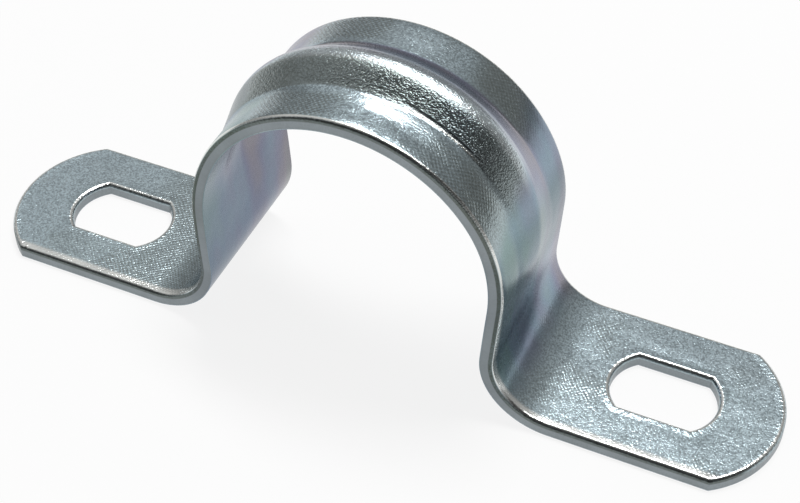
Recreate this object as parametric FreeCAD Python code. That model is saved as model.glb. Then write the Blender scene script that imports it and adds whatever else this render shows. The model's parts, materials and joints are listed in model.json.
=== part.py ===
"""Two-hole conduit strap: one strip of zinc-plated steel sheet, blanked, beaded and folded.

The strip arches over a round conduit and comes down in two legs, which turn out
through generous bends into two flat feet, each with a double-D slot for a screw.
A stiffening bead is drawn up along the middle of the arch. It is highest over the
crown and fades away down both legs, and the strip has pulled in a little beside it.
The edges of the outer face are eased by a narrow bevel, where the blanking die has
rolled them over, and the edges of the inner face stay crisp.

Frame, in millimetres: X runs from foot to foot, Y along the conduit and Z up. The
origin lies on the mounting plane, below the middle of the arch.
"""

import os
from math import atan, ceil, cos, degrees, pi, radians, sin, sqrt

import FreeCAD
import Part
from FreeCAD import Vector

# ---- driving dimensions, mm and degrees ----

CONDUIT_DIAMETER = 33.4      # 1 inch rigid conduit
SEAT_CLEARANCE = 0.1         # radial, between the conduit and the arch
SHEET = 1.6                  # thickness of the sheet

LEG_LEAN = 3.5               # how far each leg leans in towards the conduit
BEND_RADIUS = 8.3            # underside of the bend from leg to foot

LENGTH = 96.5                # over both feet
FOOT_WIDTH = 20.1
ARCH_WIDTH = 18.9            # narrower, because the bead draws the strip in
NECK_ANGLE = 56.0            # the strip keeps that width this far each side of the crown
FOOT_END_RADIUS = 12.2       # arc that ends each foot

SLOT_SPACING = 69.5          # from the middle of one slot to the middle of the other
SLOT_WIDTH = 8.0
SLOT_LENGTH = 12.2
SLOT_END_RADIUS = 5.2        # shallow arcs that meet the long sides at corners

EDGE_BEVEL = 0.45            # eased edge of the outer face
SLOT_BEVEL = 0.25            # eased edge at the mouth of each slot

BEAD_HEIGHT = 1.8            # over the crown
BEAD_HALF_WIDTH = 4.1        # over the crown
BEAD_SPREAD = 1.4            # what the half width has gained where the bead ends
BEAD_CREST_RADIUS = 4.0      # outer face, over the crown
BEAD_FULL_ANGLE = 25.0       # the bead keeps its height this far each side of the crown

# ---- how finely the arch is drawn ----

ARCH_STEP = 9.0              # largest angle between sections round the arch
LEG_STEP = 1.8               # largest distance between sections down a leg
BEAD_SAMPLES = 8             # points of a section across half of the bead
FLANGE_SAMPLES = 3           # points of a section across the flange beside it
SEAT_ALLOWANCE = 0.04        # left inside the seat and the legs, to be cut to size

# ---- dimensions worked out from them ----

SEAT_RADIUS = CONDUIT_DIAMETER / 2 + SEAT_CLEARANCE
SEAT_HEIGHT = SEAT_RADIUS                    # the conduit rests on the mounting plane
LEAN = radians(LEG_LEAN)
LEG_LENGTH = (SEAT_HEIGHT - (SEAT_RADIUS + BEND_RADIUS) * sin(LEAN) - BEND_RADIUS) / cos(LEAN)
ARCH_HALF_ANGLE = pi / 2 + LEAN              # from the crown to where a leg starts
ARCH_HALF_PATH = SEAT_RADIUS * ARCH_HALF_ANGLE
HALF_PATH = ARCH_HALF_PATH + LEG_LENGTH      # from the crown to the end of a leg
BEND_CENTRE_X = (SEAT_RADIUS + BEND_RADIUS) * cos(LEAN) - LEG_LENGTH * sin(LEAN)
BEND_INSIDE = BEND_RADIUS - SHEET            # outer face of the sheet, inside the bend
BEAD_SLOPE = 2 * atan(BEAD_HEIGHT / BEAD_HALF_WIDTH)
CREST_SHARE = BEAD_CREST_RADIUS * sin(BEAD_SLOPE) / BEAD_HALF_WIDTH
SPARE = 2.0                                  # how far a cutting shape stands clear
TINY = 1e-6

ORIGIN = Vector(0, 0, 0)
ALONG = Vector(1, 0, 0)
ACROSS = Vector(0, 1, 0)
UP = Vector(0, 0, 1)


def smooth_fade(fraction):
    """Falls from 1 to 0, level at both ends, as fraction goes from 0 to 1."""
    held = min(max(fraction, 0.0), 1.0)
    return (1 + cos(pi * held)) / 2


def fade_from_crown(path, full_angle):
    """Is 1 up to an angle from the crown, and falls smoothly to 0 at the end of a leg."""
    full = radians(full_angle) * SEAT_RADIUS
    return smooth_fade((abs(path) - full) / (HALF_PATH - full))


def even_steps(low, high, count):
    """The ends of a number of equal steps from low to high."""
    return [low + (high - low) * i / count for i in range(count + 1)]


def station(path):
    """The point of the inner face at a distance from the crown, and the way out of it."""
    side = 1 if path >= 0 else -1
    angle = min(abs(path) / SEAT_RADIUS, ARCH_HALF_ANGLE)
    down_leg = max(abs(path) - ARCH_HALF_PATH, 0.0)
    outward = Vector(side * sin(angle), 0, cos(angle))
    along = Vector(side * cos(angle), 0, -sin(angle))
    return UP * SEAT_HEIGHT + outward * SEAT_RADIUS + along * down_leg, outward


def strip_width(path):
    """The strip's width, which grows down the legs to the width of the feet."""
    return FOOT_WIDTH + (ARCH_WIDTH - FOOT_WIDTH) * fade_from_crown(path, NECK_ANGLE)


class Bead:
    """The bead's outline at one place: a crest arc between two valley arcs, all tangent."""

    def __init__(self, path, allowance):
        fade = fade_from_crown(path, BEAD_FULL_ANGLE)
        self.height = (BEAD_HEIGHT + allowance) * fade
        self.half_width = BEAD_HALF_WIDTH + BEAD_SPREAD * (1 - fade)
        self.slope = 2 * atan(self.height / self.half_width)

    def rise(self, offset, y):
        """How far the sheet stands out at y. Offset is the distance out from the inner face."""
        reach = abs(y)
        if self.slope == 0 or reach >= self.half_width:
            return 0.0
        both_radii = self.half_width / sin(self.slope)
        crest = both_radii * CREST_SHARE - SHEET + offset
        valley = both_radii - crest
        if reach < crest * sin(self.slope):
            return self.height - crest + sqrt(crest ** 2 - reach ** 2)
        return valley - sqrt(valley ** 2 - (self.half_width - reach) ** 2)


def face_curve(path, offset, half_width, allowance):
    """The strip's section along one face at a station, from -Y to +Y, with the bead in it.

    The face lies further in by the allowance, all but the crest of the bead.
    """
    origin, outward = station(path)
    bead = Bead(path, allowance)
    on_bead = even_steps(0.0, bead.half_width, BEAD_SAMPLES)
    on_flange = even_steps(bead.half_width, half_width, FLANGE_SAMPLES)
    places = on_bead + on_flange[1:]
    places = [-y for y in reversed(places[1:])] + places
    heights = [offset - allowance + bead.rise(offset, y) for y in places]
    points = [origin + ACROSS * y + outward * height for y, height in zip(places, heights)]
    curve = Part.BSplineCurve()
    curve.interpolate(Points=points, Parameters=even_steps(0.0, 1.0, len(points) - 1))
    return curve


def strip_section(path):
    """The closed section of the strip at a distance along it from the crown."""
    origin, outward = station(path)
    half = strip_width(path) / 2
    outer = face_curve(path, SHEET, half - EDGE_BEVEL, 0.0)
    inner = face_curve(path, 0.0, half, SEAT_ALLOWANCE)
    side_height = outward * (SHEET - EDGE_BEVEL)
    left_side = origin - ACROSS * half + side_height
    right_side = origin + ACROSS * half + side_height
    edges = [
        outer,
        Part.LineSegment(outer.EndPoint, right_side),
        Part.LineSegment(right_side, inner.EndPoint),
        inner,
        Part.LineSegment(inner.StartPoint, left_side),
        Part.LineSegment(left_side, outer.StartPoint),
    ]
    return Part.Wire([edge.toShape() for edge in edges])


def conduit_space():
    """What the strip bends around: the round of the seat, open below between the legs."""
    start, outward = station(HALF_PATH)
    other_start, _ = station(-HALF_PATH)
    arch_end, _ = station(ARCH_HALF_PATH)
    other_arch_end, _ = station(-ARCH_HALF_PATH)
    crown, _ = station(0.0)
    below = (start - arch_end).normalize() * SPARE
    other_below = (other_start - other_arch_end).normalize() * SPARE
    edges = [
        Part.Arc(other_arch_end, crown, arch_end),
        Part.LineSegment(arch_end, start + below),
        Part.LineSegment(start + below, other_start + other_below),
        Part.LineSegment(other_start + other_below, other_arch_end),
    ]
    profile = Part.Face(Part.Wire([edge.toShape() for edge in edges]))
    profile.translate(ACROSS * -FOOT_WIDTH)
    return profile.extrude(ACROSS * (2 * FOOT_WIDTH))


def beaded_arch():
    """The arch with its two legs and the bead, lofted through sections of the strip."""
    leg = even_steps(ARCH_HALF_PATH, HALF_PATH, ceil(LEG_LENGTH / LEG_STEP))
    arch = even_steps(-ARCH_HALF_PATH, ARCH_HALF_PATH, ceil(2 * degrees(ARCH_HALF_ANGLE) / ARCH_STEP))
    paths = [-p for p in reversed(leg[1:])] + arch + leg[1:]
    return Part.makeLoft([strip_section(p) for p in paths], True, False).cut(conduit_space())


def bent_foot_blank():
    """The foot and its bend as a plain strip, still too long and sharp at its edges."""
    axis = Vector(BEND_CENTRE_X, 0, BEND_RADIUS)
    _, outward = station(HALF_PATH)
    halfway = (outward + UP).normalize()
    blank_end = Vector(LENGTH / 2 + SPARE, 0, 0)
    under_leg = axis - outward * BEND_RADIUS
    upper_leg = axis - outward * BEND_INSIDE
    under_foot = axis - UP * BEND_RADIUS
    upper_foot = axis - UP * BEND_INSIDE
    edges = [
        Part.Arc(under_leg, axis - halfway * BEND_RADIUS, under_foot),
        Part.LineSegment(under_foot, blank_end),
        Part.LineSegment(blank_end, blank_end + UP * SHEET),
        Part.LineSegment(blank_end + UP * SHEET, upper_foot),
        Part.Arc(upper_foot, axis - halfway * BEND_INSIDE, upper_leg),
        Part.LineSegment(upper_leg, under_leg),
    ]
    profile = Part.Face(Part.Wire([edge.toShape() for edge in edges]))
    profile.translate(ACROSS * (-FOOT_WIDTH / 2))
    return profile.extrude(ACROSS * FOOT_WIDTH)


def foot_outline():
    """A tall prism with the foot's outline from above: straight sides and an arc at the end."""
    half = FOOT_WIDTH / 2
    end = LENGTH / 2
    corner = end - FOOT_END_RADIUS + sqrt(FOOT_END_RADIUS ** 2 - half ** 2)
    edges = [
        Part.LineSegment(Vector(0, -half, 0), Vector(corner, -half, 0)),
        Part.Arc(Vector(corner, -half, 0), Vector(end, 0, 0), Vector(corner, half, 0)),
        Part.LineSegment(Vector(corner, half, 0), Vector(0, half, 0)),
        Part.LineSegment(Vector(0, half, 0), Vector(0, -half, 0)),
    ]
    outline = Part.Face(Part.Wire([edge.toShape() for edge in edges]))
    outline.translate(UP * -SPARE)
    return outline.extrude(UP * (SEAT_HEIGHT + SPARE))


def is_outer_edge(edge):
    """True for an edge that runs along the outer face of the foot and its bend."""
    middle_parameter = (edge.FirstParameter + edge.LastParameter) / 2
    points = [vertex.Point for vertex in edge.Vertexes] + [edge.valueAt(middle_parameter)]
    runs_across = abs(edge.tangentAt(middle_parameter).y) > 1 - TINY and points[-1].x < LENGTH / 2 - SPARE
    for point in points:
        from_axis = Vector(point.x - BEND_CENTRE_X, 0, point.z - BEND_RADIUS).Length
        on_bend = point.x <= BEND_CENTRE_X and abs(from_axis - BEND_INSIDE) < TINY
        on_foot = point.x >= BEND_CENTRE_X and abs(point.z - SHEET) < TINY
        if not (on_bend or on_foot):
            return False
    return not runs_across


def slot_wire(growth, height):
    """The right foot's slot from above, larger all round by growth: straight sides, shallow end arcs."""
    half_width = SLOT_WIDTH / 2 + growth
    half_length = SLOT_LENGTH / 2 + growth
    radius = SLOT_END_RADIUS + growth
    corner = half_length - radius + sqrt(radius ** 2 - half_width ** 2)
    edges = [
        Part.LineSegment(Vector(-corner, -half_width, 0), Vector(corner, -half_width, 0)),
        Part.Arc(Vector(corner, -half_width, 0), Vector(half_length, 0, 0), Vector(corner, half_width, 0)),
        Part.LineSegment(Vector(corner, half_width, 0), Vector(-corner, half_width, 0)),
        Part.Arc(Vector(-corner, half_width, 0), Vector(-half_length, 0, 0), Vector(-corner, -half_width, 0)),
    ]
    wire = Part.Wire([edge.toShape() for edge in edges])
    wire.translate(Vector(SLOT_SPACING / 2, 0, height))
    return wire


def slot_punch():
    """What the slot takes out of the right foot: straight below, and eased open at its mouth."""
    shank = Part.Face(slot_wire(0.0, -SPARE)).extrude(UP * (SHEET + 2 * SPARE))
    throat = slot_wire(0.0, SHEET - SLOT_BEVEL)
    mouth = slot_wire(2 * SLOT_BEVEL, SHEET + SLOT_BEVEL)
    return shank.fuse(Part.makeLoft([throat, mouth], True, True))


def right_foot():
    """The right foot with its bend, its eased edges and its slot."""
    foot = bent_foot_blank().common(foot_outline()).Solids[0]
    foot = foot.makeChamfer(EDGE_BEVEL, [edge for edge in foot.Edges if is_outer_edge(edge)])
    return foot.cut(slot_punch()).Solids[0]


def conduit_strap():
    """The whole strap as one solid."""
    foot = right_foot()
    other_foot = foot.mirror(ORIGIN, ALONG)
    return beaded_arch().fuse([foot, other_foot]).Solids[0]


strap = conduit_strap()
os.makedirs("parts", exist_ok=True)
strap.exportStep("parts/strap.step")
box = strap.BoundBox
print(f"strap: valid {strap.isValid()}, {len(strap.Solids)} solid, {strap.Volume:.1f} cubic mm")
print(f"box {box.XLength:.2f} x {box.YLength:.2f} x {box.ZLength:.2f} mm, from Z {box.ZMin:.3f}")
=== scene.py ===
"""Two-hole conduit strap: the finished look of one folded strip of zinc-plated sheet.

The strap is modelled as it is made. A slab of sheet is laid out from the end of one
foot, folded through its bends and over the arch to the other foot, its ends are cut
round and its slots punched, its outer rim is rolled over, and the bead is drawn up.
"""

import json
import logging
from dataclasses import dataclass, field
from enum import Enum
from math import acos, atan2, cos, hypot, pi, radians, sin, sqrt, tan
from typing import Callable, Optional, Sequence, Union

import bmesh
import bpy
from mathutils import Matrix, Vector


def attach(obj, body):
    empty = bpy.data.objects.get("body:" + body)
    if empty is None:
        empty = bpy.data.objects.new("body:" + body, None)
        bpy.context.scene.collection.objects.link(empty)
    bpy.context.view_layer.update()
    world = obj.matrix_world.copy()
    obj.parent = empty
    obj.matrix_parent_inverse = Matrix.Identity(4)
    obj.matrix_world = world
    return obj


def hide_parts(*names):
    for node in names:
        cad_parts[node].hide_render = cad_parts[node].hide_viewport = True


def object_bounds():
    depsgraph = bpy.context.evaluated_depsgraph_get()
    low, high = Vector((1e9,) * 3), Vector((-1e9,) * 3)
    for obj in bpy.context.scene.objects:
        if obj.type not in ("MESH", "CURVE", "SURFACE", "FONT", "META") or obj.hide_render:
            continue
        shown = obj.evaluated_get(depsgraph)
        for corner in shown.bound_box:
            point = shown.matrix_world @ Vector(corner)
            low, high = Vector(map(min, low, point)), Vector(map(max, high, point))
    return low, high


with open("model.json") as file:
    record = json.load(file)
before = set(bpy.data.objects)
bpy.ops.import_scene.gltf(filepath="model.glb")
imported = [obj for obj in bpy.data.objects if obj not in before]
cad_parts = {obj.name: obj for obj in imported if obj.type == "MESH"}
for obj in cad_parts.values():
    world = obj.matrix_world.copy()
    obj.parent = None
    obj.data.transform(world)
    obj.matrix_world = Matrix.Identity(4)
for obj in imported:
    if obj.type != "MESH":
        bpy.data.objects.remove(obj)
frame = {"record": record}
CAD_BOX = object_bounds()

LOG = logging.getLogger("conduit_strap")
MM = 0.001


def mount_dims(name: str) -> dict[str, float]:
    """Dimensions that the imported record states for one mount.

    Args:
        name: The mount's name.

    Returns:
        The mount's dimensions by name, in millimetres.
    """
    return next(m["dims"] for m in frame["record"]["mounts"] if m["name"] == name)


def smooth_fade(fraction: float) -> float:
    """Falls from 1 to 0, level at both ends, as fraction goes from 0 to 1."""
    held = min(max(fraction, 0.0), 1.0)
    return (1 + cos(pi * held)) / 2


class Face(Enum):
    """A face of the sheet, and the way its normals point: out of the arch or into it."""

    OUTER = 1
    INNER = -1


class Cut(Enum):
    """What one solid does to another."""

    TAKE_AWAY = "DIFFERENCE"
    ADD = "UNION"
    KEEP_INSIDE = "INTERSECT"


@dataclass(frozen=True)
class Fold:
    """The strap's folded path and its driving sizes, in metres."""

    length: float = CAD_BOX[1][0] - CAD_BOX[0][0]
    foot_width: float = CAD_BOX[1][1] - CAD_BOX[0][1]
    seat_radius: float = mount_dims("conduit_seat")["r_mm"] * MM
    arch_width: float = mount_dims("conduit_seat")["length_mm"] * MM
    sheet: float = 1.6 * MM
    lean: float = radians(3.5)
    bend_radius: float = 8.3 * MM
    foot_end_radius: float = 12.2 * MM
    neck_angle: float = radians(56.0)

    @property
    def turn(self) -> float:
        """Angle from the crown to where a leg starts, which is also the turn of a bend."""
        return pi / 2 + self.lean

    @property
    def leg(self) -> float:
        """Straight length of a leg."""
        radii = self.seat_radius + self.bend_radius
        return (self.seat_radius - radii * sin(self.lean) - self.bend_radius) / cos(self.lean)

    @property
    def bend_x(self) -> float:
        """How far a bend's axis is from the middle."""
        return (self.seat_radius + self.bend_radius) * cos(self.lean) - self.leg * sin(self.lean)

    @property
    def arch_path(self) -> float:
        """Length of the inner face from the crown to where a leg starts."""
        return self.seat_radius * self.turn

    @property
    def half_path(self) -> float:
        """Length of the inner face from the crown to the end of a leg."""
        return self.arch_path + self.leg

    @property
    def bend_path(self) -> float:
        """Length of a bend along the underside of the sheet."""
        return self.bend_radius * self.turn

    def locate(self, point: Vector) -> tuple[float, float]:
        """Where a point of the sheet lies along the strip.

        Args:
            point: A place on the sheet, in metres.

        Returns:
            The signed distance along the inner face from the crown, and the distance
            out from that face.
        """
        side = 1.0 if point.x >= 0 else -1.0
        x = abs(point.x)
        if x >= self.bend_x:
            return side * (self.half_path + self.bend_path + x - self.bend_x), point.z
        axis = Vector((x - self.bend_x, point.z - self.bend_radius))
        below = self.leg_coordinate(x, point.z)
        if below > self.leg:
            angle = Vector((-cos(self.lean), sin(self.lean))).angle(axis)
            return side * (self.half_path + angle * self.bend_radius), self.bend_radius - axis.length
        out = Vector((x, point.z - self.seat_radius))
        if below > 0:
            outward = Vector((cos(self.lean), -sin(self.lean)))
            return side * (self.arch_path + below), out.dot(outward) - self.seat_radius
        angle = Vector((0, 1)).angle(out)
        return side * angle * self.seat_radius, out.length - self.seat_radius

    def leg_coordinate(self, x: float, z: float) -> float:
        """How far down from the start of a leg a place is, measured along the leg."""
        start = Vector((cos(self.lean), -sin(self.lean))) * self.seat_radius
        down = Vector((-sin(self.lean), -cos(self.lean)))
        return (Vector((x, z - self.seat_radius)) - start).dot(down)


@dataclass(frozen=True)
class Bead:
    """The stiffening bead: a crest arc, two straight flanks and two valley arcs.

    It fades down both legs. The radii are those of the outer face.
    """

    fold: Fold
    height: float = 1.8 * MM
    half_width: float = 4.1 * MM
    spread: float = 1.4 * MM
    crest_radius: float = 3.0 * MM
    valley_radius: float = 1.2 * MM
    full_angle: float = radians(25.0)

    def rise(self, path: float, offset: float, y: float) -> float:
        """How far the sheet stands out because of the bead.

        Args:
            path: Distance along the strip from the crown.
            offset: Distance out from the inner face of the sheet.
            y: Distance from the middle of the strip.

        Returns:
            The bead's height there.
        """
        full = self.full_angle * self.fold.seat_radius
        fade = smooth_fade((abs(path) - full) / (self.fold.half_path - full))
        height = self.height * fade
        half_width = self.half_width + self.spread * (1 - fade)
        reach = abs(y)
        if height < self.height / 1000 or reach >= half_width:
            return 0.0
        both = self.crest_radius + self.valley_radius
        slope = atan2(half_width, both - height) - acos(both / hypot(both - height, half_width))
        crest = self.crest_radius - self.fold.sheet + offset
        valley = both - crest
        if reach < crest * sin(slope):
            return height - crest + sqrt(crest ** 2 - reach ** 2)
        if half_width - reach < valley * sin(slope):
            return valley - sqrt(valley ** 2 - (half_width - reach) ** 2)
        return valley * (1 - cos(slope)) + (half_width - valley * sin(slope) - reach) * tan(slope)


@dataclass(frozen=True)
class Slot:
    """One screw slot: straight sides closed by two shallow arcs that meet them at corners."""

    spacing: float = mount_dims("screw_slots")["spacing_x_mm"] * MM
    length: float = mount_dims("screw_slots")["slot_length_mm"] * MM
    width: float = 2 * mount_dims("screw_slots")["hole_r_mm"] * MM
    end_radius: float = 5.2 * MM


class EditMode:
    """Edit mode on one object, as a context: deselects first and leaves object mode after."""

    def __init__(self, obj: bpy.types.Object) -> None:
        """Keeps the object to be edited."""
        self.obj = obj

    def __enter__(self) -> "EditMode":
        """Opens edit mode with nothing selected."""
        make_active(self.obj)
        bpy.ops.object.mode_set(mode="EDIT")
        bpy.ops.mesh.select_mode(type="VERT")
        bpy.ops.mesh.select_all(action="DESELECT")
        return self

    def __exit__(self, *problem: object) -> None:
        """Goes back to object mode."""
        bpy.ops.object.mode_set(mode="OBJECT")

    @property
    def mesh(self) -> bmesh.types.BMesh:
        """The mesh being edited."""
        return bmesh.from_edit_mesh(self.obj.data)

    def select_faces(self, wanted: Callable[[bmesh.types.BMFace], bool]) -> None:
        """Selects the faces that a test is true for, and nothing else."""
        self.select("FACE", wanted)

    def select_edges(self, wanted: Callable[[bmesh.types.BMEdge], bool]) -> None:
        """Selects the edges that a test is true for, and nothing else."""
        self.select("EDGE", wanted)

    def select(self, kind: str, wanted: Callable[..., bool]) -> None:
        """Selects what a test is true for, and nothing else.

        Args:
            kind: FACE or EDGE.
            wanted: The test.
        """
        bpy.ops.mesh.select_mode(type=kind)
        bpy.ops.mesh.select_all(action="DESELECT")
        items = self.mesh.faces if kind == "FACE" else self.mesh.edges
        for item in items:
            item.select_set(wanted(item))
        self.mesh.select_flush_mode()
        bmesh.update_edit_mesh(self.obj.data)


def make_active(obj: bpy.types.Object) -> None:
    """Makes one object the only selected one and the active one."""
    bpy.ops.object.select_all(action="DESELECT")
    obj.select_set(True)
    bpy.context.view_layer.objects.active = obj


def apply_modifier(obj: bpy.types.Object, kind: str, **settings: object) -> None:
    """Adds a modifier to an object and applies it.

    Args:
        obj: The object to be changed.
        kind: The modifier's type.
        settings: The modifier's settings by name.
    """
    make_active(obj)
    modifier = obj.modifiers.new(kind.lower(), kind)
    for name, value in settings.items():
        setattr(modifier, name, value)
    bpy.ops.object.modifier_apply(modifier=modifier.name)


def freeze_place(obj: bpy.types.Object) -> None:
    """Moves an object's place, turn and size into its mesh."""
    make_active(obj)
    bpy.ops.object.transform_apply(location=True, rotation=True, scale=True)


@dataclass
class StrapBody:
    """The strap's sheet, modelled from a slab to the finished folded strip."""

    fold: Fold = field(default_factory=Fold)
    slot: Slot = field(default_factory=Slot)
    name: str = "strap_body"
    spare: float = 2.0 * MM
    rim_roll: float = 0.52 * MM
    roll_steps: int = 4
    bead_columns: int = 34
    bead_zone: float = 5.7 * MM
    flange_columns: tuple[float, ...] = (7.2 * MM, 8.6 * MM)
    arch_steps: int = 132
    bend_steps: int = 22
    leg_steps: int = 8
    arc_corners: int = 128

    def build(self) -> bpy.types.Object:
        """Models the strap.

        Returns:
            The finished mesh object.
        """
        body = self.lay_out_section()
        self.fold_up(body)
        self.merge_feet(body)
        self.cut_foot_ends(body)
        self.punch_slots(body)
        self.roll_rim(body)
        self.draw_in_neck(body)
        self.mark_surface(body)
        self.raise_bead(body)
        self.shade(body)
        return body

    def lay_out_section(self) -> bpy.types.Object:
        """Makes the sheet's end section, with its columns, at the end of the left foot."""
        bpy.ops.object.select_all(action="DESELECT")
        start = Vector((-self.fold.length / 2 - self.spare, 0, self.fold.sheet / 2))
        bpy.ops.mesh.primitive_plane_add(size=1, location=start, rotation=(0, pi / 2, 0))
        body = bpy.context.object
        body.name = body.data.name = self.name
        body.scale = (self.fold.sheet, 2 * self.bead_zone, 1)
        freeze_place(body)
        with EditMode(body) as edit:
            edit.select_edges(lambda e: abs(e.verts[0].co.y - e.verts[1].co.y) > self.bead_zone)
            bpy.ops.mesh.subdivide(number_cuts=self.bead_columns - 1)
            steps = self.flange_columns + (self.fold.foot_width / 2,)
            for near, far in zip((self.bead_zone,) + steps, steps):
                for side in (-1, 1):
                    edit.select_edges(lambda e: all(abs(v.co.y - side * near) < self.tiny
                                                    for v in e.verts))
                    bpy.ops.mesh.extrude_region_move(
                        TRANSFORM_OT_translate={"value": (0, side * (far - near), 0)})
        return body

    @property
    def tiny(self) -> float:
        """A length too small to matter."""
        return self.fold.sheet / 10000

    def fold_up(self, body: bpy.types.Object) -> None:
        """Draws the section along the strap's whole path, one foot to the other."""
        fold = self.fold
        foot = fold.length / 2 + self.spare - fold.bend_x
        left_bend = Vector((-fold.bend_x, 0, fold.bend_radius))
        right_bend = Vector((fold.bend_x, 0, fold.bend_radius))
        crown_axis = Vector((0, 0, fold.seat_radius))
        up_leg = Vector((-sin(fold.lean), 0, cos(fold.lean)))
        down_leg = Vector((-sin(fold.lean), 0, -cos(fold.lean)))
        with EditMode(body):
            bpy.ops.mesh.select_mode(type="FACE")
            bpy.ops.mesh.select_all(action="SELECT")
            self.draw_straight(Vector((1, 0, 0)), foot, 1)
            self.draw_round(left_bend, fold.turn, self.bend_steps)
            self.draw_straight(up_leg, fold.leg, self.leg_steps)
            self.draw_round(crown_axis, -2 * fold.turn, self.arch_steps)
            self.draw_straight(down_leg, fold.leg, self.leg_steps)
            self.draw_round(right_bend, fold.turn, self.bend_steps)
            self.draw_straight(Vector((1, 0, 0)), foot, 1)
            bpy.ops.mesh.select_all(action="SELECT")
            bpy.ops.mesh.remove_doubles(threshold=self.tiny)
            bpy.ops.mesh.normals_make_consistent(inside=False)

    def draw_straight(self, way: Vector, distance: float, steps: int) -> None:
        """Extrudes the selected section straight.

        Args:
            way: Unit vector along the stretch.
            distance: Length of the stretch.
            steps: Number of equal steps.
        """
        for _ in range(steps):
            bpy.ops.mesh.extrude_region_move(TRANSFORM_OT_translate={"value": way * (distance / steps)})

    def draw_round(self, centre: Vector, angle: float, steps: int) -> None:
        """Spins the selected section about an axis along Y.

        Args:
            centre: A point of the axis.
            angle: How far it turns, positive from +X round to +Z.
            steps: Number of equal steps.
        """
        bpy.ops.mesh.spin(steps=steps, angle=angle, center=centre, axis=(0, 1, 0))

    def merge_feet(self, body: bpy.types.Object) -> None:
        """Joins the many columns of each flat foot into whole faces."""
        limit = self.fold.bend_x - self.tiny
        with EditMode(body) as edit:
            edit.select_faces(lambda f: all(abs(v.co.x) > limit for v in f.verts))
            bpy.ops.mesh.dissolve_limited(angle_limit=radians(1))

    def cut_foot_ends(self, body: bpy.types.Object) -> None:
        """Cuts the end of each foot to a shallow arc."""
        radius = self.fold.foot_end_radius
        centre = self.fold.length / 2 - radius
        for side in (-1, 1):
            waste = self.add_box(Vector((side * (centre + radius), 0, self.fold.sheet / 2)),
                                 Vector((2 * (radius - radius / 3), 3 * radius, 3 * self.fold.sheet)))
            middle = Vector((side * centre, 0, self.fold.sheet / 2))
            inside = self.add_round(middle, radius, 5 * self.fold.sheet)
            self.combine(waste, inside, Cut.TAKE_AWAY)
            self.combine(body, waste, Cut.TAKE_AWAY)

    def punch_slots(self, body: bpy.types.Object) -> None:
        """Punches the slot in each foot."""
        slot = self.slot
        inset = slot.length / 2 - slot.end_radius
        height = 4 * self.fold.sheet
        for side in (-1, 1):
            middle = Vector((side * slot.spacing / 2, 0, self.fold.sheet / 2))
            shift = Vector((inset, 0, 0))
            punch = self.add_round(middle + shift, slot.end_radius, height)
            self.combine(punch, self.add_round(middle - shift, slot.end_radius, height), Cut.ADD)
            size = Vector((2 * slot.length, slot.width, 2 * height))
            self.combine(punch, self.add_box(middle, size), Cut.KEEP_INSIDE)
            self.combine(body, punch, Cut.TAKE_AWAY)

    def add_box(self, centre: Vector, size: Vector) -> bpy.types.Object:
        """Adds a plain block to cut with.

        Args:
            centre: Its middle.
            size: Its full size along X, Y and Z.

        Returns:
            The block.
        """
        bpy.ops.object.select_all(action="DESELECT")
        bpy.ops.mesh.primitive_cube_add(size=1, location=centre)
        box = bpy.context.object
        box.scale = size
        freeze_place(box)
        return box

    def add_round(self, centre: Vector, radius: float, height: float) -> bpy.types.Object:
        """Adds an upright cylinder to cut with.

        Args:
            centre: Its middle.
            radius: Its radius.
            height: Its height.

        Returns:
            The cylinder.
        """
        bpy.ops.object.select_all(action="DESELECT")
        bpy.ops.mesh.primitive_cylinder_add(vertices=self.arc_corners, radius=radius, depth=height,
                                            location=centre)
        cylinder = bpy.context.object
        freeze_place(cylinder)
        return cylinder

    def combine(self, kept: bpy.types.Object, tool: bpy.types.Object, cut: Cut) -> None:
        """Cuts one solid with another, which is then thrown away.

        Args:
            kept: The solid that stays.
            tool: The solid that is used up.
            cut: What the tool does.
        """
        apply_modifier(kept, "BOOLEAN", operation=cut.value, object=tool, solver="EXACT")
        bpy.data.objects.remove(tool, do_unlink=True)

    def roll_rim(self, body: bpy.types.Object) -> None:
        """Rolls over the rim of the outer face, its ends and the mouths of its slots."""
        with EditMode(body) as edit:
            edit.select_edges(self.is_on_rim)
            bpy.ops.mesh.bevel(offset=self.rim_roll, offset_type="OFFSET", segments=self.roll_steps,
                               profile=0.5, affect="EDGES", clamp_overlap=False, loop_slide=False)

    def is_on_rim(self, edge: bmesh.types.BMEdge) -> bool:
        """True for a sharp edge that bounds the outer face."""
        if len(edge.link_faces) != 2 or edge.calc_face_angle() < radians(60):
            return False
        offsets = [self.fold.locate(v.co)[1] for v in edge.verts]
        return all(abs(offset - self.fold.sheet) < self.fold.sheet / 50 for offset in offsets)

    def draw_in_neck(self, body: bpy.types.Object) -> None:
        """Narrows the strip smoothly from its feet to its arch."""
        draw = (self.fold.foot_width - self.fold.arch_width) / 2
        full = self.fold.neck_angle * self.fold.seat_radius

        def weight(point: Vector, side: int) -> float:
            """How much of the draw a point on one side of the strip takes."""
            path, _ = self.fold.locate(point)
            fade = smooth_fade((abs(path) - full) / (self.fold.half_path - full))
            return fade * max(side * point.y, 0) / (self.fold.foot_width / 2)

        for side in (-1, 1):
            self.paint_weights(body, "neck", lambda v: weight(v.co, side))
            apply_modifier(body, "DISPLACE", direction="Y", strength=-side * draw, mid_level=0,
                           vertex_group="neck")

    def raise_bead(self, body: bpy.types.Object) -> None:
        """Draws the bead up in both faces of the sheet, a wall of even thickness.

        The outer face goes first: an inner face that stands out already would pass for it.
        """
        bead = Bead(self.fold)

        def weight(point: Vector, face: Face) -> float:
            """How much of the bead's height a point of one face takes."""
            path, offset = self.fold.locate(point)
            if (offset > self.fold.sheet / 2) != (face is Face.OUTER):
                return 0.0
            return bead.rise(path, offset, point.y) / bead.height

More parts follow.
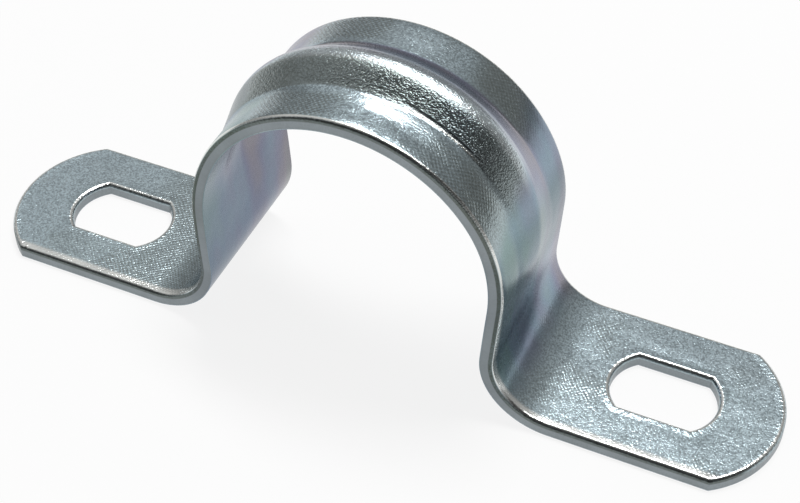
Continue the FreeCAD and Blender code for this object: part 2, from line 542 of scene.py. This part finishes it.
        for face in (Face.OUTER, Face.INNER):
            self.paint_weights(body, "bead", lambda v: weight(v.co, face))
            apply_modifier(body, "DISPLACE", direction="NORMAL", strength=face.value * bead.height,
                           mid_level=0, vertex_group="bead")

    def paint_weights(self, body: bpy.types.Object, name: str,
                      weight: Callable[[bpy.types.MeshVertex], float]) -> None:
        """Paints a vertex group afresh.

        Args:
            body: The mesh object.
            name: The group's name.
            weight: Gives each vertex its weight, from 0 to 1.
        """
        old = body.vertex_groups.get(name)
        if old:
            body.vertex_groups.remove(old)
        group = body.vertex_groups.new(name=name)
        for vertex in body.data.vertices:
            value = weight(vertex)
            if value > 0:
                group.add([vertex.index], value, "REPLACE")

    def mark_surface(self, body: bpy.types.Object) -> None:
        """Unrolls the strip into a UV map, and marks each place's way round the sheet's edge."""
        mesh = body.data
        places = [self.fold.locate(vertex.co) for vertex in mesh.vertices]
        chart = mesh.uv_layers.get("strip") or mesh.uv_layers.new(name="strip")
        for loop in mesh.loops:
            index = loop.vertex_index
            chart.data[loop.index].uv = (places[index][0], mesh.vertices[index].co.y)
        round_edge = mesh.attributes.new("round_edge", "FLOAT", "POINT")
        for mark, (_, offset) in zip(round_edge.data, places):
            mark.value = self.way_round_edge(offset)

    def way_round_edge(self, offset: float) -> float:
        """How far round the edge a place is.

        Args:
            offset: Its distance out from the inner face.

        Returns:
            0 on the outer face, 1 where the rolled rim meets the sheared wall, and 2 on
            the inner face.
        """
        drop = self.fold.sheet - offset
        if drop < self.rim_roll:
            return acos(min(1 - drop / self.rim_roll, 1.0)) / (pi / 2)
        return 1 + (drop - self.rim_roll) / (self.fold.sheet - self.rim_roll)

    def shade(self, body: bpy.types.Object) -> None:
        """Smooths the shading over the folds and the rolled rim, and keeps the crisp edges."""
        make_active(body)
        bpy.ops.object.shade_smooth_by_angle(angle=radians(35))
        apply_modifier(body, "WEIGHTED_NORMAL", keep_sharp=True)


Number = Union[float, "Value"]
Colour = tuple[float, float, float]
Band = tuple[float, float, float]
Ramp = tuple[float, float]


@dataclass(frozen=True)
class Value:
    """One number that varies over a surface, with arithmetic that adds Math nodes."""

    shop: "NodeShop"
    socket: bpy.types.NodeSocket

    def __add__(self, other: Number) -> "Value":
        """Adds."""
        return self.shop.maths("ADD", self, other)

    __radd__ = __add__

    def __sub__(self, other: Number) -> "Value":
        """Subtracts."""
        return self.shop.maths("SUBTRACT", self, other)

    def __rsub__(self, other: Number) -> "Value":
        """Subtracts this from a number."""
        return self.shop.maths("SUBTRACT", other, self)

    def __mul__(self, other: Number) -> "Value":
        """Multiplies."""
        return self.shop.maths("MULTIPLY", self, other)

    __rmul__ = __mul__

    def __truediv__(self, other: Number) -> "Value":
        """Divides."""
        return self.shop.maths("DIVIDE", self, other)

    def __neg__(self) -> "Value":
        """Turns the sign."""
        return self.shop.maths("MULTIPLY", self, -1.0)

    def __abs__(self) -> "Value":
        """Drops the sign."""
        return self.shop.maths("ABSOLUTE", self)

    def __pow__(self, power: float) -> "Value":
        """Raises to a power."""
        return self.shop.maths("POWER", self, power)

    def step(self, low: float, high: float) -> "Value":
        """Rises smoothly from 0 at low to 1 at high."""
        node = self.shop.node("ShaderNodeMapRange", {"interpolation_type": "SMOOTHSTEP"},
                              {"Value": self, "From Min": low, "From Max": high})
        return Value(self.shop, node.outputs["Result"])

    def band(self, middle: float, half_width: float, soft: float) -> "Value":
        """Is 1 within half_width of middle, and falls to 0 over soft beyond that."""
        return 1 - abs(self - middle).step(half_width, half_width + soft)

    def least(self, other: Number) -> "Value":
        """The smaller of two numbers."""
        return self.shop.maths("MINIMUM", self, other)

    def most(self, other: Number) -> "Value":
        """The larger of two numbers."""
        return self.shop.maths("MAXIMUM", self, other)


class NodeShop:
    """Adds nodes to one material or world."""

    def __init__(self, tree: bpy.types.NodeTree) -> None:
        """Starts with an empty tree."""
        self.tree = tree
        tree.nodes.clear()

    def node(self, kind: str, settings: Optional[dict[str, object]] = None,
             inputs: Optional[dict[Union[str, int], object]] = None) -> bpy.types.Node:
        """Adds one node.

        Args:
            kind: The node's type.
            settings: Its settings by name, set first. A ramp's stops go under "stops".
            inputs: Values or links of its sockets, by name or number.

        Returns:
            The node.
        """
        node = self.tree.nodes.new(kind)
        for name, value in (settings or {}).items():
            if name == "stops":
                self.set_stops(node.color_ramp, value)
            else:
                setattr(node, name, value)
        for key, value in (inputs or {}).items():
            self.feed(node.inputs[key], value)
        return node

    def set_stops(self, ramp: bpy.types.ColorRamp, stops: Sequence[tuple[float, "Colour"]]) -> None:
        """Gives a colour ramp its stops."""
        while len(ramp.elements) < len(stops):
            ramp.elements.new(1.0)
        for element, (place, colour) in zip(ramp.elements, stops):
            element.position = place
            element.color = (*colour, 1.0)

    def feed(self, socket: bpy.types.NodeSocket, value: object) -> None:
        """Links a socket or sets its value."""
        if isinstance(value, Value):
            self.tree.links.new(value.socket, socket)
        elif isinstance(value, bpy.types.NodeSocket):
            self.tree.links.new(value, socket)
        elif isinstance(value, tuple) and len(value) == 3 and len(socket.default_value) == 4:
            socket.default_value = (*value, 1.0)
        else:
            socket.default_value = value

    def maths(self, operation: str, *numbers: Number) -> Value:
        """Adds a Math node."""
        node = self.node("ShaderNodeMath", {"operation": operation}, dict(enumerate(numbers)))
        return Value(self, node.outputs[0])

    def noise(self, place: object, scale: float, detail: float = 2.0, roughness: float = 0.5) -> Value:
        """Soft noise from 0 to 1 at a place.

        Args:
            place: The coordinates' socket.
            scale: Cells per metre.
            detail: Octaves.
            roughness: Share of the finer octaves.

        Returns:
            The noise.
        """
        node = self.node("ShaderNodeTexNoise", {"noise_dimensions": "3D"},
                         {"Vector": place, "Scale": scale, "Detail": detail, "Roughness": roughness})
        return Value(self, node.outputs["Fac"])

    def mix(self, share: Number, low: object, high: object, blend: str = "MIX") -> bpy.types.NodeSocket:
        """Mixes two colours.

        Args:
            share: How much of the second colour there is, from 0 to 1.
            low: The first colour.
            high: The second colour.
            blend: The way they are mixed.

        Returns:
            The mixed colour's socket.
        """
        settings = {"data_type": "RGBA", "blend_type": blend, "clamp_factor": True}
        node = self.node("ShaderNodeMix", settings, {0: share, 6: low, 7: high})
        return node.outputs[2]

    def parts(self, place: object) -> tuple[Value, Value, Value]:
        """Splits coordinates into X, Y and Z."""
        node = self.node("ShaderNodeSeparateXYZ", None, {0: place})
        return Value(self, node.outputs[0]), Value(self, node.outputs[1]), Value(self, node.outputs[2])

    def join(self, x: Number, y: Number, z: Number) -> bpy.types.NodeSocket:
        """Joins three numbers into coordinates."""
        return self.node("ShaderNodeCombineXYZ", None, {0: x, 1: y, 2: z}).outputs[0]

    def stretch(self, place: object, scale: tuple[float, float, float],
                turn: float = 0.0) -> bpy.types.NodeSocket:
        """Scales and turns coordinates.

        Args:
            place: The coordinates' socket.
            scale: Factors along X, Y and Z.
            turn: Angle about Z, in radians.

        Returns:
            The new coordinates' socket.
        """
        node = self.node("ShaderNodeMapping", {"vector_type": "POINT"},
                         {"Vector": place, "Rotation": (0.0, 0.0, turn), "Scale": scale})
        return node.outputs["Vector"]



@dataclass(frozen=True)
class ZincPlate:
    """Bright passivated zinc plate on stamped sheet, its sizes in millimetres.

    A Band is the middle, the half width and the soft edge of a zone along or across the
    strip. A Ramp is where a zone starts and where it has come in fully.
    """

    fold: Fold = field(default_factory=Fold)
    slot: Slot = field(default_factory=Slot)

    zinc: Colour = (0.49, 0.59, 0.63)
    # Painted shade: the dark reflection on the bead's front slope; it also darkens the right shoulder
    # and the troughs of the cross-hatch.
    shade_and_weave_grey: Colour = (0.20, 0.215, 0.19)
    violet: Colour = (0.27, 0.27, 0.385)
    sky: Colour = (0.26, 0.33, 0.43)
    sea: Colour = (0.27, 0.37, 0.39)
    blush: Colour = (0.33, 0.29, 0.34)
    straw: Colour = (0.30, 0.32, 0.31)
    # Painted shade: dark blue pooled in the concave bends.
    painted_bend_shade: Colour = (0.10, 0.14, 0.22)
    shear: Colour = (0.28, 0.31, 0.33)
    fracture: Colour = (0.17, 0.185, 0.19)
    # Painted shade: the dark reflection along the lower half of the rolled rim.
    painted_roll_shade: Colour = (0.06, 0.065, 0.05)
    # Painted highlight on the rolled rims and the feet's front edges, and a painted bright line just in
    # front of the crease.
    painted_highlight: Colour = (0.96, 0.96, 0.92)
    # Painted highlight along the bead's crest.
    painted_crest_highlight: Colour = (0.86, 0.92, 0.94)
    # Painted shade in the nick of the crease.
    painted_crease_shade: Colour = (0.02, 0.022, 0.025)
    outer_tint: Colour = (0.94, 0.98, 0.93)
    # Painted shade: darker on the legs near the knees, and on the inside of the arch.
    knee_shade: Colour = (0.60, 0.67, 0.61)
    inside_shade: Colour = (0.58, 0.60, 0.61)
    fleck_range: tuple[float, float] = (0.67, 1.30)

    grain_size: float = 0.21
    weave_pitch: float = 0.56
    weave_turn: float = radians(4.0)
    weave_wander: float = 0.5
    blotch_size: float = 8.0
    cloud_share: float = 2.2

    grain_height: float = 0.034
    weave_height: float = 0.0105
    blotch_height: float = 0.16
    cloud_height: float = 0.03
    tick_height: float = 0.07
    dish_height: float = 0.24
    crease_height: float = 0.10

    inner_from: Ramp = (1.93, 2.0)
    wall_from: Ramp = (0.98, 1.06)
    wall_to: Ramp = (1.9, 1.97)
    # Where the painted highlight and the painted dark band lie round the rolled rim.
    rim_highlight_from: Ramp = (0.0, 0.15)
    rim_highlight_to: Ramp = (0.35, 0.60)
    roll_shade_on_edge: Band = (0.80, 0.20, 0.12)

    bead_back: Band = (2.3, 1.7, 0.5)
    bead_front: Band = (-2.2, 1.4, 0.4)
    bead_crest: Band = (0.1, 0.7, 0.6)
    bead_fades: Ramp = (16.0, 25.0)
    crest_along: Band = (4.0, 10.0, 6.0)
    dish_along: Band = (6.0, 8.0, 7.0)
    # Where the painted shade on the legs lies along the strip.
    knee_shade_band: Band = (26.0, 3.0, 3.5)
    # Where the painted highlight along the feet's front edges lies.
    foot_highlight_across: Ramp = (8.75, 9.35)
    foot_highlight_along: Ramp = (26.0, 30.0)
    crease_across: float = -3.30
    crease_angles: tuple[float, float] = (radians(12.0), radians(46.0))

    rubbed_left: float = radians(34.0)
    rubbed_right: float = radians(54.0)
    rubbed_slant: float = -0.42
    rubbed_wander: float = 3.0
    rubbed_bead: Band = (-2.2, 1.4, 0.8)
    rubbed_bead_late: float = 3.5
    rubbed_back_ends: Ramp = (26.0, 30.0)
    olive_angle: float = radians(47.0)
    olive_slant: float = -0.32
    olive_back: Band = (2.0, 1.8, 0.5)
    woven_foot: Band = (-47.0, 6.0, 5.0)
    woven_crown: Band = (-8.0, 4.0, 4.0)
    woven_crown_flange: Ramp = (4.6, 5.6)
    woven_shoulder: Band = (12.5, 3.0, 3.0)
    woven_shoulder_flange: Ramp = (4.0, 5.4)
    woven_spots: Ramp = (0.50, 0.62)
    slot_tick_zone: Ramp = (0.35, 1.3)
    rim_tick_zone: Ramp = (0.3, 1.5)
    slot_ticks: float = 15.0
    rim_ticks: float = 34.0

    def make(self) -> bpy.types.Material:
        """Makes the finish.

        Returns:
            The material.
        """
        material = bpy.data.materials.new("zinc_plate")
        material.use_nodes = True
        shop = NodeShop(material.node_tree)
        shader = PlateShader(self, shop)
        bump = shop.node("ShaderNodeBump", {"invert": False},
                         {"Strength": 1.0, "Distance": MM, "Height": shader.height()})
        surface = shop.node("ShaderNodeBsdfPrincipled", {"distribution": "MULTI_GGX"},
                            {"Base Color": shader.colour(), "Metallic": 1.0,
                             "Roughness": shader.roughness(), "Normal": bump.outputs["Normal"]})
        shop.node("ShaderNodeOutputMaterial", None, {"Surface": surface.outputs["BSDF"]})
        return material


class PlateShader:
    """What varies over the zinc plate: coordinates, noises and zones, then what they make."""

    def __init__(self, plate: ZincPlate, shop: NodeShop) -> None:
        """Lays out the coordinates, the noises and the zones.

        Args:
            plate: The finish's settings.
            shop: Where its nodes go.
        """
        self.plate = plate
        self.shop = shop
        self.arc = plate.fold.seat_radius / MM
        self.solid = self.to_millimetres(shop.node("ShaderNodeTexCoord").outputs["Object"])
        self.strip = self.to_millimetres(shop.node("ShaderNodeUVMap", {"uv_map": "strip"}).outputs["UV"])
        self.along, self.across, _ = shop.parts(self.strip)
        self.reach = abs(self.along)
        mark = shop.node("ShaderNodeAttribute", {"attribute_name": "round_edge"})
        self.edge = Value(shop, mark.outputs["Fac"])

        self.blotch = shop.noise(self.solid, 1 / plate.blotch_size, 3.0)
        self.cloud = shop.noise(self.solid, plate.cloud_share / plate.blotch_size, 2.0)
        self.grain = shop.noise(self.solid, 1 / plate.grain_size, 2.0, 0.7)
        self.coarse = shop.noise(self.solid, 0.5 / plate.grain_size, 1.0)
        self.weave = self.cross_hatch()

        self.inner = self.edge.step(*plate.inner_from)
        self.outer = 1 - self.inner
        self.wall = self.edge.step(*plate.wall_from) * (1 - self.edge.step(*plate.wall_to))
        self.right = self.along.step(-1.0, 1.0)
        self.worked = self.burnished()
        self.woven = self.woven_patches()
        self.front = self.across.band(*plate.bead_front) * self.outer
        self.front = self.front * (1 - self.reach.step(*plate.bead_fades))
        self.crest = self.across.band(*plate.bead_crest) * self.outer
        self.crest = self.crest * self.along.band(*plate.crest_along)
        self.crease = self.crease_line(0.0)

    def to_millimetres(self, place: bpy.types.NodeSocket) -> bpy.types.NodeSocket:
        """Turns metres into millimetres."""
        return self.shop.node("ShaderNodeVectorMath", {"operation": "SCALE"},
                              {"Vector": place, "Scale": 1 / MM}).outputs["Vector"]

    def cross_hatch(self) -> Value:
        """Fine cross-hatch left by the rolls, from -1 to 1."""
        shop, plate = self.shop, self.plate
        wander = shop.node("ShaderNodeTexNoise", {"noise_dimensions": "3D"},
                           {"Vector": self.strip, "Scale": 0.35, "Detail": 1.0}).outputs["Color"]
        shift = (plate.weave_wander, plate.weave_wander, 0.0)
        moved = shop.node("ShaderNodeVectorMath", {"operation": "MULTIPLY_ADD"},
                          {0: wander, 1: shift, 2: self.strip}).outputs["Vector"]
        one, other, _ = shop.parts(shop.stretch(moved, (1.0, 1.0, 1.0), plate.weave_turn))
        pulse = 2 * pi / plate.weave_pitch
        return shop.maths("SINE", one * pulse) * shop.maths("SINE", other * pulse)

    def burnished(self) -> Value:
        """Where the forming tools wore the grain smooth: legs, bends and the bead's back."""
        plate, fold = self.plate, self.plate.fold
        late = plate.rubbed_bead_late * self.across.band(*plate.rubbed_bead)
        left_start = self.arc * plate.rubbed_left + late
        right_start = self.arc * plate.rubbed_right + self.across * plate.rubbed_slant
        wander = (self.cloud - 0.5) * plate.rubbed_wander
        start = left_start + self.right * (right_start - left_start) + wander
        end = (fold.half_path + fold.bend_path / 2) / MM
        reach = self.reach + wander
        legs = (reach - start).step(-0.8, 2.2) * (1 - reach.step(end - 2.0, end + 3.0))
        back = self.across.band(*plate.bead_back) * (1 - reach.step(*plate.rubbed_back_ends))
        return (legs + back + self.inner).least(1.0) * (0.88 + 0.3 * self.cloud).least(1.0)

    def woven_patches(self) -> Value:
        """Where the cross-hatch shows: not on the rim, and hardly where tools wore it smooth."""
        plate, flange = self.plate, abs(self.across)
        foot = self.along.band(*plate.woven_foot)
        crown = self.along.band(*plate.woven_crown) * flange.step(*plate.woven_crown_flange)
        shoulder = self.along.band(*plate.woven_shoulder) * flange.step(*plate.woven_shoulder_flange)
        spots = self.blotch.step(*plate.woven_spots) * 0.6
        patches = (foot + crown + shoulder + spots).least(1.0)
        return patches * (1 - 0.8 * self.worked) * (1 - self.edge.step(0.0, 0.2))

    def olive_shoulder(self) -> Value:
        """The darker stretch over the right shoulder, longer on the front flange."""
        middle = self.arc * self.plate.olive_angle + self.across * self.plate.olive_slant
        in_front = 1 - self.across.band(*self.plate.olive_back)
        return abs(self.along - middle).band(0.0, 2.0, 3.5) * in_front * self.outer

    def crease_line(self, below: float) -> Value:
        """The crisp nick where the bead's die pinched the front valley.

        Args:
            below: How far in front of the nick to look.

        Returns:
            1 on the line and 0 away from it.
        """
        start, end = (self.arc * angle for angle in self.plate.crease_angles)
        soft = 2.5
        line = (self.across + 0.012 * self.along).band(self.plate.crease_across - below, 0.04, 0.13)
        return line * self.along.band((start + end) / 2, (end - start) / 2 - soft, soft) * self.outer

    def punch_ticks(self) -> Value:
        """Short rolled ticks square to the slots' mouths and the feet's round ends."""
        plate, fold, slot, shop = self.plate, self.plate.fold, self.plate.slot, self.shop
        x, y, _ = shop.parts(self.solid)
        reach = abs(x)
        from_slot = reach - slot.spacing / 2 / MM
        end = (abs(from_slot) - (slot.length / 2 - slot.end_radius) / MM).most(0.0)
        end_gap = (end * end + y * y) ** 0.5 - slot.end_radius / MM
        slot_gap = end_gap.most(abs(y) - slot.width / 2 / MM)
        from_centre = reach - (fold.length / 2 - fold.foot_end_radius) / MM
        rim_gap = fold.foot_end_radius / MM - (from_centre * from_centre + y * y) ** 0.5
        slot_zone = (1 - slot_gap.step(*plate.slot_tick_zone)) * reach.step(24.0, 25.0)
        rim_zone = (1 - rim_gap.step(*plate.rim_tick_zone)) * from_centre.step(2.0, 5.0)
        slot_ticks = self.ticks_round(shop.maths("ARCTAN2", y, from_slot) * plate.slot_ticks, x, y)
        rim_ticks = self.ticks_round(shop.maths("ARCTAN2", y, from_centre) * plate.rim_ticks, x, y)
        return slot_ticks * slot_zone + rim_ticks * rim_zone

    def ticks_round(self, turn: Value, x: Value, y: Value) -> Value:
        """Noise that changes fast with a turn and hardly with the place."""
        return self.shop.noise(self.shop.join(turn, x * 0.02, y * 0.02), 1.0, 1.0)

    def height(self) -> Value:
        """Height of the fine relief over the surface, in millimetres.

        Returns:
            The height.
        """
        plate = self.plate
        bite = plate.grain_height * (1 + 1.5 * self.front.most(self.crest))
        bite = bite * (1 - 0.2 * self.reach.step(29.0, 33.0))
        bite = bite * (1 - 0.85 * self.worked) * (1 - 0.8 * self.wall)
        height = (self.grain * 0.8 + self.coarse * 0.45) * bite
        height = height + self.weave * self.woven * plate.weave_height
        dish = (-4.6 - 0.13 * self.along - self.across).step(-1.4, 1.6)
        dish = dish * self.along.band(*plate.dish_along) * (0.65 + 0.7 * self.cloud)
        height = height - dish * plate.dish_height
        height = height + self.punch_ticks() * plate.tick_height
        height = height + self.blotch * plate.blotch_height + self.cloud * plate.cloud_height
        return height - self.crease * plate.crease_height

    def roughness(self) -> Value:
        """How rough the plate is: a little more so where it was rubbed or sheared."""
        polish = 0.19 + 0.08 * self.cloud + 0.08 * (self.grain - 0.5)
        return polish + 0.04 * self.worked + 0.10 * self.wall

    def colour(self) -> bpy.types.NodeSocket:
        """Colour of the plate, from its tints to the shade and highlights painted on its bead, crease
        and edges.

        Returns:
            The colour's socket.
        """
        colour = self.flecked(self.tinted())
        colour = self.paint_bead_shade_and_crest_highlight(colour)
        colour = self.sheared(colour)
        return self.paint_edge_highlights_and_shade(colour)

    def tinted(self) -> bpy.types.NodeSocket:
        """Zinc with the passivation's soft interference tints, and shade painted on the legs, the inside
        and the bends.
        """
        shop, plate, fold = self.shop, self.plate, self.plate.fold
        streak = shop.noise(shop.stretch(self.strip, (0.030, 0.26, 1.0)), 1.0, 1.0)
        drift = shop.noise(shop.stretch(self.strip, (0.10, 0.10, 1.0)), 1.0, 2.0)
        home = 0.30 + self.across * 0.022 + 0.12 * (1 - self.right)
        home = home + 0.2 * self.across.band(*plate.bead_back) * (1 - self.reach.step(18.0, 24.0))
        hue = home + (streak - 0.5) * 0.9 + (drift - 0.5) * 0.9
        stops = ((0.0, plate.sea), (0.28, plate.sky), (0.52, plate.violet), (0.74, plate.blush),
                 (1.0, plate.straw))
        tints = shop.node("ShaderNodeValToRGB", {"stops": stops}, {"Fac": hue}).outputs["Color"]
        # Painted shade: the tints darken on the legs near the knees and on the inside of the arch.
        light = shop.mix(self.reach.band(*plate.knee_shade_band), plate.outer_tint, plate.knee_shade)
        light = shop.mix(self.inner, light, plate.inside_shade)
        tints = shop.mix(1.0, tints, light, "MULTIPLY")
        tone = (self.blotch - 0.5) * 0.5 + (self.cloud - 0.5) * 0.25
        base = shop.mix((0.5 + tone).step(0.0, 1.0), tuple(0.86 * c for c in plate.zinc),
                        tuple(1.12 * c for c in plate.zinc))
        # The tints are darker than the bare zinc, so where they come in, on the legs, bends, bead's back
        # and inside, they are partly painted shade as well as the film's own colours.
        base = shop.mix(self.worked * 0.9 + 0.05, base, tints)
        # Painted shade: dark blue pooled in the concave bends.
        bend = (fold.half_path + fold.bend_path * 0.18) / MM
        bend_shade_zone = (self.reach + self.across * 0.5).band(bend - 1.0, 1.0, 6.0)
        bend_shade_zone = bend_shade_zone * self.across.band(-0.5, 1.0, 6.5)
        return shop.mix(bend_shade_zone * 0.35, base, plate.painted_bend_shade)

    def flecked(self, colour: bpy.types.NodeSocket) -> bpy.types.NodeSocket:
        """Breaks a colour up with the grain's light and dark flecks."""
        low, high = self.plate.fleck_range
        flecks = ((self.grain - 0.5) * 2.2 + (self.coarse - 0.5) * 0.5) * (1 - 0.8 * self.worked)
        shade = self.shop.mix((0.5 + flecks).step(0.0, 1.0), (low, low, low), (high, high, high))
        return self.shop.mix(1.0, colour, shade, "MULTIPLY")

    def paint_bead_shade_and_crest_highlight(self, colour: bpy.types.NodeSocket) -> bpy.types.NodeSocket:
        """Paints shade on the bead's front slope and a highlight on its crest; darkens the right
        shoulder and weave.
        """
        shop, plate = self.shop, self.plate
        # Painted shade on the bead's front slope, standing for its dark reflection; it weakens to a
        # quarter on the right, beyond 3 to 13 mm from the crown.
        right_fade = 1 - 0.75 * self.along.step(3.0, 13.0)
        bead_shade_and_olive = (self.front * 0.62 * right_fade + self.olive_shoulder() * 0.40).least(0.8)
        colour = shop.mix(bead_shade_and_olive, colour, plate.shade_and_weave_grey)
        # Painted highlight along the crest.
        colour = shop.mix(self.crest * 0.45, colour, plate.painted_crest_highlight)
        # The same grey darkens the troughs of the cross-hatch, a pattern of the plate.
        return shop.mix(self.woven * (0.32 - self.weave * 0.32), colour, plate.shade_and_weave_grey)

    def sheared(self, colour: bpy.types.NodeSocket) -> bpy.types.NodeSocket:
        """Puts the scored grey of a sheared edge on the sheet's walls."""
        shop, plate = self.shop, self.plate
        scored = shop.noise(shop.join(self.along * 6.0, self.edge * 1.6, self.across * 0.2), 1.0, 1.0)
        broken = scored * 0.35 + self.cloud * 0.8 - 0.15 + self.edge.step(1.6, 2.0) * 0.2
        return shop.mix(self.wall * 0.9, colour, shop.mix(broken, plate.shear, plate.fracture))

    def paint_edge_highlights_and_shade(self, colour: bpy.types.NodeSocket) -> bpy.types.NodeSocket:
        """Paints a dark band low on the rolled rim, highlights on the rims and before the crease, shade
        in it.
        """
        shop, plate = self.shop, self.plate
        # Painted shade: a dark band along the lower half of the rolled rim, weaker round the slots.
        painted_roll_shade = self.edge.band(*plate.roll_shade_on_edge) * (0.40 + 0.60 * abs(self.across).step(6.0, 8.0))
        colour = shop.mix(painted_roll_shade * (0.80 + 0.8 * (self.grain - 0.5)), colour, plate.painted_roll_shade)
        # Painted highlight along the rolled rims and along the feet's front edges.
        rim = self.edge.step(*plate.rim_highlight_from) * (1 - self.edge.step(*plate.rim_highlight_to))
        foot_rim_highlight = (-self.across).step(*plate.foot_highlight_across) * self.reach.step(*plate.foot_highlight_along)
        rim = rim.most(foot_rim_highlight * (1 - self.edge.step(0.0, 0.6)))
        colour = shop.mix(rim * (0.55 + 0.5 * self.cloud), colour, plate.painted_highlight)
        # Painted highlight just in front of the crease.
        colour = shop.mix(self.crease_line(0.30) * 0.7, colour, plate.painted_highlight)
        # Painted shade in the nick of the crease.
        return shop.mix(self.crease * 0.92, colour, plate.painted_crease_shade)


@dataclass(frozen=True)
class Lamp:
    """A soft area lamp aimed at the strap."""

    name: str
    toward: tuple[float, float, float]
    distance: float
    size: tuple[float, float]
    power: float

    def hang(self, aim: Vector) -> None:
        """Hangs the lamp.

        Args:
            aim: The point that it faces.
        """
        away = Vector(self.toward).normalized()
        light = bpy.data.lights.new(self.name, "AREA")
        light.shape = "RECTANGLE"
        light.size, light.size_y = self.size
        light.energy = self.power
        lamp = bpy.data.objects.new(self.name, light)
        bpy.context.collection.objects.link(lamp)
        lamp.location = aim + away * self.distance
        lamp.rotation_euler = away.to_track_quat("Z", "Y").to_euler()


@dataclass(frozen=True)
class Studio:
    """Camera, lamps, floor and surroundings."""

    aim: tuple[float, float, float] = (2.5 * MM, 0, 10.25 * MM)
    distance: float = 190.9 * MM
    azimuth: float = 23.74
    elevation: float = 44.29
    roll: float = 0.56
    lens: float = 76.1
    floor_size: float = 3.0
    floor_drop: float = 0.03 * MM
    floor_white: float = 0.95
    glow: float = 0.86
    horizon: float = 0.26
    zenith: float = 0.58
    climb: Ramp = (0.20, 0.80)
    dusk: float = 0.10
    dusk_front: Ramp = (-0.12, 0.28)
    dusk_height: Ramp = (0.20, 0.45)
    slant: float = 0.95
    slant_from: float = -0.45
    slant_reach: float = 0.45
    slant_height: Ramp = (0.30, 0.60)
    lamps: tuple[Lamp, ...] = (
        Lamp("overhead", (0.09, 0.29, 0.95), 1.00, (0.76, 0.20), 7.6),
    )

    def build(self) -> None:
        """Sets up the whole studio."""
        self.place_camera()
        self.lay_floor()
        self.light_world()
        for lamp in self.lamps:
            lamp.hang(Vector(self.aim))
        bpy.context.scene.view_settings.view_transform = "Standard"

    def place_camera(self) -> None:
        """Adds the camera, aimed at the strap."""
        turn = radians(self.azimuth)
        tilt = radians(self.elevation)
        back = Vector((sin(turn) * cos(tilt), -cos(turn) * cos(tilt), sin(tilt)))
        data = bpy.data.cameras.new("camera")
        data.lens = self.lens
        data.clip_start = self.distance / 50
        data.clip_end = 50
        camera = bpy.data.objects.new("camera", data)
        bpy.context.collection.objects.link(camera)
        right = Vector((cos(turn), sin(turn), 0))
        up = back.cross(right)
        leant_right = right * cos(radians(self.roll)) + up * sin(radians(self.roll))
        leant_up = back.cross(leant_right)
        axes = Matrix((leant_right, leant_up, back)).transposed().to_4x4()
        camera.matrix_world = Matrix.Translation(Vector(self.aim) + back * self.distance) @ axes
        bpy.context.scene.camera = camera

    def lay_floor(self) -> None:
        """Lays a white floor that keeps the strap's soft shadow."""
        bpy.ops.object.select_all(action="DESELECT")
        bpy.ops.mesh.primitive_plane_add(size=self.floor_size, location=(0, 0, -self.floor_drop))
        floor = bpy.context.object
        floor.name = floor.data.name = "floor"
        freeze_place(floor)
        material = bpy.data.materials.new("floor_white")
        material.use_nodes = True
        shop = NodeShop(material.node_tree)
        rays = shop.node("ShaderNodeLightPath").outputs
        seen = Value(shop, rays["Is Camera Ray"]).most(Value(shop, rays["Is Glossy Ray"]))
        seen = seen.most(Value(shop, rays["Is Transmission Ray"]))
        paint = shop.node("ShaderNodeBsdfDiffuse", None, {"Color": (self.floor_white,) * 3})
        light = shop.node("ShaderNodeEmission", None, {"Color": (1.0, 1.0, 1.0), "Strength": 1.0})
        both = shop.node("ShaderNodeMixShader", None,
                         {0: seen * self.glow, 1: paint.outputs[0], 2: light.outputs[0]})
        shop.node("ShaderNodeOutputMaterial", None, {"Surface": both.outputs[0]})
        floor.data.materials.append(material)

    def light_world(self) -> None:
        """Surrounds the strap with soft light, pale overhead and dim on the front side."""
        world = bpy.data.worlds.new("studio")
        world.use_nodes = True
        shop = NodeShop(world.node_tree)
        way = shop.node("ShaderNodeTexCoord").outputs["Generated"]
        x, y, height = shop.parts(way)
        turn = radians(self.azimuth)
        front = x * sin(turn) - y * cos(turn)
        level = self.horizon + (self.zenith - self.horizon) * height.step(*self.climb)
        shade = front.step(*self.dusk_front) * height.step(*self.dusk_height)
        level = level * (1 - (1 - self.dusk) * shade)
        lean = (x - self.slant_from).most(0.0).least(self.slant_reach) * height.step(*self.slant_height)
        level = level * (1 - self.slant * lean)
        colour = shop.mix(level, (0.0, 0.0, 0.0), (1.0, 1.0, 1.0))
        sky = shop.node("ShaderNodeBackground", None, {"Color": colour, "Strength": 1.0})
        shop.node("ShaderNodeOutputWorld", None, {"Surface": sky.outputs[0]})
        bpy.context.scene.world = world


def main() -> None:
    """Builds the strap and its studio."""
    logging.basicConfig(level=logging.INFO, format="%(message)s")
    body = StrapBody().build()
    body.data.materials.clear()
    body.data.materials.append(ZincPlate().make())
    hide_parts("strap")
    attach(body, "root")
    LOG.info("%s: %d faces", body.name, len(body.data.polygons))
    Studio().build()


if __name__ == "__main__":
    main()
